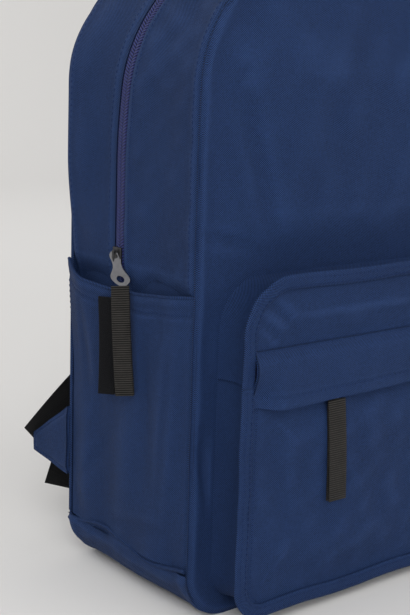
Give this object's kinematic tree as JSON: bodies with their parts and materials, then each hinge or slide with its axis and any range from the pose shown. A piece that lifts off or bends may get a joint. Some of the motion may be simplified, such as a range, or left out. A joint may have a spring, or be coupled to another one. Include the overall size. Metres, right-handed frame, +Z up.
{
  "type": "school backpack",
  "caption": "Navy cloth school backpack with a folding zipped lid, a flapped front pocket, slip side pockets, padded shoulder straps and a haul handle.",
  "frame": {"origin": "middle of the base, on the surface that the bag stands on", "axes": "+X to the right as seen from the front, +Y from the front panel to the back panel and the straps, +Z up"},
  "size_m": [0.3125, 0.2411, 0.4705],
  "materials": {
    "navy_cloth": "matt woven polyester with a soft sheen",
    "zip_coil": "navy woven zip coil",
    "lining_and_foam": "dark grey lining over foam",
    "black_webbing": "black ribbed webbing",
    "zip_metal": "satin gunmetal plating",
    "black_plastic": "moulded black plastic"
  },
  "bodies": {
    "bag_body": {"back_panel": "navy_cloth", "back_foam_sheet": "lining_and_foam", "front_panel": "navy_cloth", "base_panel": "navy_cloth", "base_board": "black_plastic", "side_panel_left": "navy_cloth", "side_panel_right": "navy_cloth", "front_strip_left": "navy_cloth", "front_strip_right": "navy_cloth", "rear_gusset": "navy_cloth", "main_zip_rear_half": "zip_coil", "main_zip_front_left": "zip_coil", "main_zip_front_right": "zip_coil", "laptop_sleeve": "lining_and_foam", "sleeve_binding": "black_webbing", "side_pocket_left": "navy_cloth", "side_pocket_right": "navy_cloth", "pocket_gusset": "navy_cloth", "pocket_top_panel": "navy_cloth", "pocket_zip_upper": "zip_coil", "handle_foot_left": "black_webbing", "handle_foot_right": "black_webbing", "strap_yoke": "navy_cloth", "strap_stub_left": "navy_cloth", "strap_stub_right": "navy_cloth", "anchor_tab_left": "navy_cloth", "anchor_tab_right": "navy_cloth"},
    "lid": {"lid_panel": "navy_cloth", "lid_gusset": "navy_cloth", "lid_zip_half": "zip_coil"},
    "main_slider": {"main_slider": "zip_metal"},
    "main_puller": {"main_puller": "zip_metal"},
    "main_pull": {"main_pull_webbing": "black_webbing", "main_pull_label": "black_webbing"},
    "pocket_flap": {"pocket_flap": "navy_cloth"},
    "pocket_face": {"pocket_face": "navy_cloth", "pocket_zip_lower": "zip_coil"},
    "pocket_slider": {"pocket_slider": "zip_metal"},
    "pocket_puller": {"pocket_puller": "zip_metal"},
    "pocket_pull": {"pocket_pull_webbing": "black_webbing"},
    "haul_handle": {"haul_handle": "black_webbing"},
    "strap_left": {"strap_pad_left": "navy_cloth", "lock_loop_left": "black_webbing", "strap_webbing_left": "black_webbing"},
    "ladder_lock_left": {"ladder_lock_left": "black_plastic", "lock_webbing_left": "black_webbing", "strap_tail_left": "black_webbing"},
    "strap_right": {"strap_pad_right": "navy_cloth", "lock_loop_right": "black_webbing", "strap_webbing_right": "black_webbing"},
    "ladder_lock_right": {"ladder_lock_right": "black_plastic", "lock_webbing_right": "black_webbing", "strap_tail_right": "black_webbing"}
  },
  "joints": [
    {"name": "lid_hinge", "type": "hinge", "parent": "bag_body", "child": "lid", "pos_m": [0, -0.069, 0.3], "axis": [1, 0, 0], "range_deg": [0, 80]},
    {"name": "main_slider_slide", "type": "slide", "parent": "bag_body", "child": "main_slider", "axis": [0, 0, 1], "range_m": [0, 0.056]},
    {"name": "main_puller_hinge", "type": "hinge", "parent": "main_slider", "child": "main_puller", "pos_m": [-0.1494, 0.016, 0.236], "axis": [0, 1, 0], "range_deg": [0, 100]},
    {"name": "main_pull_hinge", "type": "hinge", "parent": "main_puller", "child": "main_pull", "pos_m": [-0.15159, 0.013, 0.21813], "axis": [0, 1, 0], "range_deg": [0, 60]},
    {"name": "pocket_flap_hinge", "type": "hinge", "parent": "bag_body", "child": "pocket_flap", "pos_m": [0, -0.0993, 0.19], "axis": [-1, 0, 0], "range_deg": [0, 80]},
    {"name": "pocket_face_hinge", "type": "hinge", "parent": "bag_body", "child": "pocket_face", "pos_m": [0, -0.099, 0.012], "axis": [1, 0, 0], "range_deg": [0, 9.6]},
    {"name": "pocket_slider_slide", "type": "slide", "parent": "pocket_face", "child": "pocket_slider", "axis": [1, 0, 0], "range_m": [0, 0.13]},
    {"name": "pocket_puller_swing", "type": "hinge", "parent": "pocket_slider", "child": "pocket_puller", "pos_m": [-0.052, -0.102, 0.171], "axis": [0, 1, 0], "range_deg": [-15, 15]},
    {"name": "pocket_pull_hinge", "type": "hinge", "parent": "pocket_puller", "child": "pocket_pull", "pos_m": [-0.052, -0.102, 0.153], "axis": [-1, 0, 0], "range_deg": [0, 60]},
    {"name": "haul_handle_hinge", "type": "hinge", "parent": "bag_body", "child": "haul_handle", "pos_m": [0, 0.058, 0.4475], "axis": [1, 0, 0], "range_deg": [-30, 30]},
    {"name": "strap_left_swing", "type": "hinge", "parent": "bag_body", "child": "strap_left", "pos_m": [-0.05, 0.1, 0.361], "axis": [0.3281, -0.0795, 0.9413], "range_deg": [-20, 35]},
    {"name": "ladder_lock_left_tilt", "type": "hinge", "parent": "strap_left", "child": "ladder_lock_left", "pos_m": [-0.07159, 0.12838, 0.17621], "axis": [0.9934, 0.0095, -0.1146], "range_deg": [0, 15]},
    {"name": "strap_right_swing", "type": "hinge", "parent": "bag_body", "child": "strap_right", "pos_m": [0.05, 0.1, 0.361], "axis": [0.3281, 0.0795, -0.9413], "range_deg": [-20, 35]},
    {"name": "ladder_lock_right_tilt", "type": "hinge", "parent": "strap_right", "child": "ladder_lock_right", "pos_m": [0.07159, 0.12838, 0.17621], "axis": [0.9934, -0.0095, 0.1146], "range_deg": [0, 15]}
  ],
  "couplings": [
    {"joint": "pocket_face_hinge", "follows": "pocket_flap_hinge", "ratio": 0.12}
  ]
}
